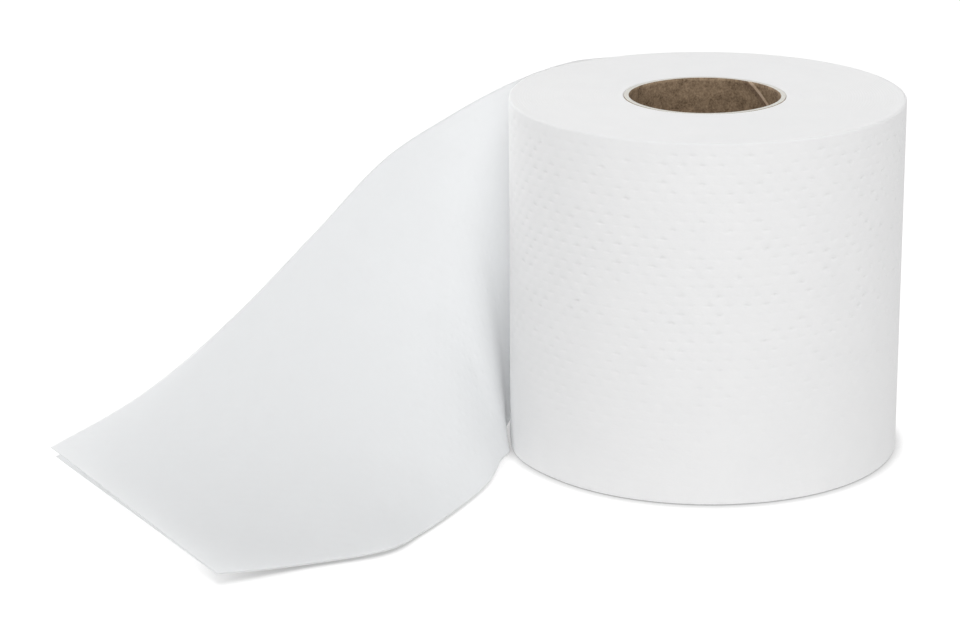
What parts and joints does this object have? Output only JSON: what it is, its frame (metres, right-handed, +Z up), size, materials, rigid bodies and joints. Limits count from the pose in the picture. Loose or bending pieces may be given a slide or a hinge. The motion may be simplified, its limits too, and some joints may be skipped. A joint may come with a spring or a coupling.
{
  "type": "toilet paper roll",
  "caption": "White two-ply toilet paper roll standing on its end, wound on a kraft cardboard tube, with a length unwound to the left and twisting down to a free end that lies nearly flat.",
  "frame": {"origin": "middle of the outline seen from above, on the surface that the roll stands on", "axes": "+Z up along the roll's axis; +X to the right and +Y to the back as seen from the front; the unwound length runs out towards -X and -Y"},
  "size_m": [0.2348, 0.1722, 0.1],
  "materials": {
    "tissue": "soft matte, embossed with small staggered dots",
    "kraft_board": "matte grey-brown board with a spiral lap, pale at its cut ends"
  },
  "bodies": {
    "root": {"paper_roll": "tissue", "cardboard_core": "kraft_board"}
  },
  "joints": []
}
